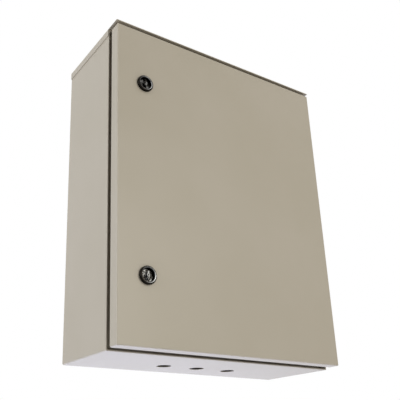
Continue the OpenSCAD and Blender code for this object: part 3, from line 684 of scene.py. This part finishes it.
def stitch_weld(start, end, face_ways, width):
    """Closed grid of one weld bead in an inside corner: a quarter-round ridge with a ripple every 1.6 mm.

    At the angle a round the corner and the share s along the bead, a point lies at the distance
    width * (1 - (2 s - 1) ** 6) ** 0.5 * (1 - 0.18 (1 - ripple) - 0.22 sin 2a) from the corner, where
    ripple = abs(sin(pi * (length along / 1.6 mm + 0.5 sin 2a)))."""
    start, end = np.array(start), np.array(end)
    run = np.linalg.norm(end - start)
    rows, columns = int(run / (0.4 * MM)), 9
    share = np.linspace(0, 1, rows)
    angle = np.linspace(0, math.pi / 2, columns)
    taper = np.sqrt(np.clip(1 - (2 * share - 1) ** 6, 0, 1))
    bow = np.sin(2 * angle)
    ripple = np.abs(np.sin(math.pi * (share[:, None] * run / (1.6 * MM) + 0.5 * bow[None, :])))
    reach = width * taper[:, None] * (1 - 0.18 * (1 - ripple) - 0.22 * bow[None, :])
    first, second = (np.array(way, dtype=float) for way in face_ways)
    line = start + (end - start) * share[:, None]
    around = np.cos(angle)[:, None] * first + np.sin(angle)[:, None] * second
    ridge = line[:, None, :] + reach[..., None] * around[None]
    root = line[:, None, :] - 0.1 * MM * (first + second)
    return np.concatenate([ridge, root], axis=1)


def tube_closed(grid):
    """The grid with its first and last rows drawn to a point, so that its ends are shut."""
    ends = [grid[:1].mean(axis=1, keepdims=True), grid[-1:].mean(axis=1, keepdims=True)]
    caps = [np.repeat(end, grid.shape[1], axis=1) for end in ends]
    return np.concatenate([caps[0], grid, caps[1]], axis=0)


def back_welds(sizes):
    """Stitch welds inside the case, where the back panel's flange meets the side, top and bottom walls."""
    low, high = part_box("back_panel")
    depth = low[1]
    # A bead's leg along the flange's edge, as a share of its leg along the wall
    short_leg = 0.45
    grids = []
    for run_axis, wall_axis in ((2, 0), (0, 2)):
        span = high[run_axis] - low[run_axis]
        count = int(span / sizes.weld_step)
        middle = (low[run_axis] + high[run_axis]) / 2
        for place in middle + (np.arange(count) - (count - 1) / 2) * sizes.weld_step:
            for wall, way in ((low[wall_axis], 1), (high[wall_axis], -1)):
                start, end, inward = np.zeros(3), np.zeros(3), np.zeros(3)
                start[[run_axis, wall_axis, 1]] = place - sizes.weld_length / 2, wall, depth
                end[[run_axis, wall_axis, 1]] = place + sizes.weld_length / 2, wall, depth
                inward[wall_axis] = way * short_leg
                grids.append(tube_closed(stitch_weld(start, end, (inward, (0, -1, 0)), sizes.weld_width)))
    points, faces = join_grids(grids)
    piece = mesh_piece("back_panel_welds", points, faces, sharp_angle=70)
    weld_doubles(piece, 0.01 * MM)
    piece.data.materials.append(finish_for("paint"))
    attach(piece, "case")


def spot_welds(sizes):
    """Marks of the spot welds on the feet of both rails: a shallow crater with a raised ring.

    The height over the foot is 0.65 mm * (x ** 2 - x ** 6) + 0.02 mm for x from 0 in the middle to 1 at the
    edge, which makes the ring 0.25 mm high."""
    grids = []
    angle = np.linspace(0, FULL_TURN, 20, endpoint=False)
    share = np.linspace(1, 0, 8)
    rise = 0.65 * MM * (share ** 2 - share ** 6) + 0.02 * MM
    inset, end = sizes.spot_inset, sizes.spot_end
    for side in ("left", "right"):
        low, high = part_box("door_rail_" + side)
        foot_top = low[1] + sizes.rail_sheet
        for x in (low[0] + inset, high[0] - inset):
            for z in np.linspace(low[2] + end, high[2] - end, sizes.spot_count):
                radii = sizes.spot_size / 2 * share
                top = np.stack([
                    x + radii[:, None] * np.cos(angle),
                    np.repeat((foot_top + rise)[:, None], len(angle), axis=1),
                    z + radii[:, None] * np.sin(angle),
                ], axis=-1)
                under = top[:1].copy()
                under[..., 1] = foot_top - 0.1 * MM
                heart = np.repeat(under.mean(axis=1, keepdims=True), len(angle), axis=1)
                grids.append(np.concatenate([heart, under, top], axis=0))
    points, faces = join_grids(grids)
    piece = mesh_piece("rail_spot_welds", points, faces, sharp_angle=70)
    weld_doubles(piece)
    piece.data.materials.append(finish_for("paint"))
    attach(piece, "door")


# Each lamp's place, the point that it shines at, and its width, in metres
MIDDLE = (0, -0.08, 0)
LAMPS = {
    "front": ((0.55, -2.6, 0.35), MIDDLE, 1.2),
    "left": ((-2.2, 0.05, 0.4), MIDDLE, 1.5),
    "under": ((0.1, 0.45, -0.93), (0.1, 0.45, 0), 1.2),
}


def area_lamp(name, place, aim, size, power, tint):
    """Square soft lamp that shines from its place towards its aim."""
    data = bpy.data.lights.new(name, "AREA")
    data.shape = "SQUARE"
    data.size = size
    data.energy = power
    data.color = tuple(tint)[:3]
    lamp = bpy.data.objects.new(name, data)
    lamp.location = place
    lamp.rotation_mode = "QUATERNION"
    lamp.rotation_quaternion = (Vector(aim) - Vector(place)).to_track_quat("-Z", "Y")
    lamp.visible_camera = False
    bpy.context.scene.collection.objects.link(lamp)


def studio_camera(stage):
    """Camera at the photograph's place, turned about its own axis by the roll."""
    data = bpy.data.cameras.new("studio_camera")
    data.sensor_width = 36
    data.lens = stage.camera_lens
    data.shift_x, data.shift_y = stage.camera_shift
    camera = bpy.data.objects.new("studio_camera", data)
    place, aim = Vector(stage.camera_place), Vector(stage.camera_aim)
    turn = (aim - place).to_track_quat("-Z", "Y").to_matrix()
    roll = Matrix.Rotation(-stage.camera_roll, 3, "Z")
    camera.location = place
    camera.rotation_mode = "QUATERNION"
    camera.rotation_quaternion = (turn @ roll).to_quaternion()
    bpy.context.scene.collection.objects.link(camera)
    bpy.context.scene.camera = camera


def studio_floor(stage, colours):
    """Wide round floor below the camera: rings of points at growing distance, floor radius * share ** 2."""
    angle = np.linspace(0, FULL_TURN, 96, endpoint=False)
    radii = stage.floor_radius * np.linspace(0.02, 1, 24) ** 2
    ring = np.stack([np.cos(angle), np.sin(angle)], axis=-1)
    flat = radii[:, None, None] * ring[None]
    points = np.concatenate([flat, np.full(flat.shape[:2] + (1,), -stage.floor_drop)], axis=-1)
    faces = grid_faces(len(radii), len(angle), close_rows=False)
    floor = mesh_piece("studio_floor", points.reshape(-1, 3), faces[:, ::-1])
    centre = bmesh.new()
    centre.from_mesh(floor.data)
    centre.faces.new([v for v in centre.verts if v.index < len(angle)])
    bmesh.ops.recalc_face_normals(centre, faces=centre.faces)
    centre.to_mesh(floor.data)
    centre.free()
    material, tree, shader, place = start_material("matt_paper", Base_Color=colours.floor, Roughness=0.9)
    grain = add(tree, "ShaderNodeTexNoise", values={"Scale": 1 / (3 * MM)},
                links={"Vector": (place, "Object")})
    relief = add(tree, "ShaderNodeBump", values={"Strength": 0.1, "Distance": 0.1 * MM},
                 links={"Height": (grain, "Fac")})
    tree.links.new(relief.outputs["Normal"], shader.inputs["Normal"])
    white = add(tree, "ShaderNodeEmission", values={"Color": colours.floor_glow, "Strength": 1.0})
    path = add(tree, "ShaderNodeLightPath")
    # Mirrored, the floor is white all over; seen by the camera it keeps its shading and the object's shadow
    seen = add(tree, "ShaderNodeMath", settings={"operation": "MULTIPLY_ADD"}, values={1: stage.floor_white},
               links={0: (path, "Is Camera Ray"), 2: (path, "Is Glossy Ray")})
    seen = add(tree, "ShaderNodeMath", settings={"operation": "ADD", "use_clamp": True},
               links={0: (seen, 0), 1: (path, "Is Transmission Ray")})
    both = add(tree, "ShaderNodeMixShader", links={0: (seen, 0), 1: (shader, "BSDF"), 2: (white, "Emission")})
    tree.links.new(both.outputs["Shader"], tree.nodes["Material Output"].inputs["Surface"])
    floor.data.materials.append(material)


def studio_sky(stage):
    """White to the camera and in reflections, and a softer even light on everything else."""
    world = bpy.data.worlds.new("studio_sky")
    bpy.context.scene.world = world
    world.use_nodes = True
    tree = world.node_tree
    tree.nodes.clear()
    path = add(tree, "ShaderNodeLightPath")
    seen = add(tree, "ShaderNodeMath", settings={"operation": "ADD", "use_clamp": True},
               links={0: (path, "Is Camera Ray"), 1: (path, "Is Glossy Ray")})
    seen = add(tree, "ShaderNodeMath", settings={"operation": "ADD", "use_clamp": True},
               links={0: (seen, 0), 1: (path, "Is Transmission Ray")})
    soft = add(tree, "ShaderNodeBackground", values={"Color": (1, 1, 1, 1), "Strength": stage.sky_level})
    white = add(tree, "ShaderNodeBackground", values={"Color": (1, 1, 1, 1), "Strength": 1.0})
    both = add(tree, "ShaderNodeMixShader",
               links={0: (seen, 0), 1: (soft, "Background"), 2: (white, "Background")})
    add(tree, "ShaderNodeOutputWorld", links={"Surface": (both, "Shader")})


class ENCLOSURE_OT_painted_sheets(bpy.types.Operator):
    """Round the edges of the folded sheets and powder coat them"""

    bl_idname = "enclosure.painted_sheets"
    bl_label = "Painted sheets"

    def execute(self, context):
        sizes = context.scene.enclosure_sizes
        for node in PAINTED:
            nose = (-sizes.wall_depth, sizes.nose) if node == "body_shell" else None
            softened(node, sizes.edge_round, nose=nose)
        return {"FINISHED"}


class ENCLOSURE_OT_seal(bpy.types.Operator):
    """Lay the foamed seal round the inside of the door"""

    bl_idname = "enclosure.seal"
    bl_label = "Door seal"

    def execute(self, context):
        foam_bead(context.scene.enclosure_sizes)
        return {"FINISHED"}


class ENCLOSURE_OT_locks(bpy.types.Operator):
    """Turn the lock housings, round the cores, cams and nuts, and finish the washers and screws"""

    bl_idname = "enclosure.locks"
    bl_label = "Locks"

    def execute(self, context):
        sizes = context.scene.enclosure_sizes
        core_metal = die_cast_zinc(context.scene.enclosure_colours)
        for which in HEIGHTS:
            lock_housing(which, sizes)
            # The core's rounded edges and patches come out bright: painted glints, partly the key's rubbing
            softened("lock_core_" + which, sizes.core_round, material=core_metal)
            softened("lock_cam_" + which, sizes.edge_round)
            softened("lock_nut_" + which, sizes.nut_round)
            softened("cam_screw_" + which, sizes.nut_round)
            dress("lock_washer_" + which)
        return {"FINISHED"}


class ENCLOSURE_OT_hinges(bpy.types.Operator):
    """Round the hinge leaves' edges, cut the threads of their studs, and plate pins, rivets and nuts"""

    bl_idname = "enclosure.hinges"
    bl_label = "Hinges"

    def execute(self, context):
        sizes = context.scene.enclosure_sizes
        for which in HEIGHTS:
            softened("hinge_leaf_case_" + which, sizes.edge_round)
            softened("hinge_leaf_door_" + which, sizes.edge_round)
            dress("hinge_pin_" + which)
        threaded_studs("hinge_studs", sizes.hinge_pitch, tip_high=True)
        dress("hinge_rivets", "hinge_nuts")
        return {"FINISHED"}


class ENCLOSURE_OT_plate(bpy.types.Operator):
    """Galvanise the mounting plate, round its edges, and thread the studs that carry it"""

    bl_idname = "enclosure.plate"
    bl_label = "Mounting plate"

    def execute(self, context):
        sizes = context.scene.enclosure_sizes
        softened("mounting_plate", sizes.edge_round)
        threaded_studs("plate_studs", sizes.plate_pitch, tip_high=False)
        dress("plate_spacers", "plate_washers", "plate_nuts")
        return {"FINISHED"}


class ENCLOSURE_OT_earthing(bpy.types.Operator):
    """Thread both earthing studs and plate their washers and nuts"""

    bl_idname = "enclosure.earthing"
    bl_label = "Earthing points"

    def execute(self, context):
        sizes = context.scene.enclosure_sizes
        threaded_studs("earth_stud_case", sizes.earth_pitch, tip_high=False)
        threaded_studs("earth_stud_door", sizes.earth_pitch, tip_high=True)
        dress("earth_washer_case", "earth_nut_case", "earth_washer_door", "earth_nut_door")
        return {"FINISHED"}


class ENCLOSURE_OT_welds(bpy.types.Operator):
    """Lay the stitch welds of the back panel and the spot welds of the rails"""

    bl_idname = "enclosure.welds"
    bl_label = "Welds"

    def execute(self, context):
        sizes = context.scene.enclosure_sizes
        back_welds(sizes)
        spot_welds(sizes)
        return {"FINISHED"}


class ENCLOSURE_OT_stage(bpy.types.Operator):
    """Set up the camera, the floor, the sky and three soft lamps"""

    bl_idname = "enclosure.stage"
    bl_label = "Stage"

    def execute(self, context):
        stage = context.scene.enclosure_stage
        context.scene.view_settings.view_transform = "Standard"
        studio_camera(stage)
        studio_floor(stage, context.scene.enclosure_colours)
        studio_sky(stage)
        for which, (place, aim, width) in LAMPS.items():
            power, tint = getattr(stage, which + "_power"), getattr(stage, which + "_tint")
            area_lamp(which + "_lamp", place, aim, width, power, tint)
        return {"FINISHED"}


class ENCLOSURE_PT_sidebar(bpy.types.Panel):
    """Lists the pieces that can be made and the sizes and colours that can be changed"""

    bl_label = "Enclosure"
    bl_idname = "ENCLOSURE_PT_sidebar"
    bl_space_type = "VIEW_3D"
    bl_region_type = "UI"
    bl_category = "Enclosure"

    def draw(self, context):
        column = self.layout.column()
        for operator in OPERATORS:
            column.operator(operator.bl_idname)
        scene = context.scene
        for group in (scene.enclosure_sizes, scene.enclosure_colours, scene.enclosure_stage):
            box = self.layout.box()
            for name in group.bl_rna.properties.keys():
                if name not in ("rna_type", "name"):
                    box.prop(group, name)


OPERATORS = (
    ENCLOSURE_OT_painted_sheets,
    ENCLOSURE_OT_seal,
    ENCLOSURE_OT_locks,
    ENCLOSURE_OT_hinges,
    ENCLOSURE_OT_plate,
    ENCLOSURE_OT_earthing,
    ENCLOSURE_OT_welds,
    ENCLOSURE_OT_stage,
)
CLASSES = (EnclosureSizes, EnclosureColours, EnclosureStage) + OPERATORS + (ENCLOSURE_PT_sidebar,)


def register():
    """Add the classes to Blender and the settings to the scene."""
    for item in CLASSES:
        bpy.utils.register_class(item)
    bpy.types.Scene.enclosure_sizes = PointerProperty(type=EnclosureSizes)
    bpy.types.Scene.enclosure_colours = PointerProperty(type=EnclosureColours)
    bpy.types.Scene.enclosure_stage = PointerProperty(type=EnclosureStage)


def unregister():
    """Take the settings off the scene and the classes out of Blender."""
    del bpy.types.Scene.enclosure_stage
    del bpy.types.Scene.enclosure_colours
    del bpy.types.Scene.enclosure_sizes
    for item in reversed(CLASSES):
        bpy.utils.unregister_class(item)


def main():
    """Register, and make every piece and the stage."""
    register()
    bpy.ops.enclosure.painted_sheets()
    bpy.ops.enclosure.seal()
    bpy.ops.enclosure.locks()
    bpy.ops.enclosure.hinges()
    bpy.ops.enclosure.plate()
    bpy.ops.enclosure.earthing()
    bpy.ops.enclosure.welds()
    bpy.ops.enclosure.stage()


if __name__ == "__main__":
    main()
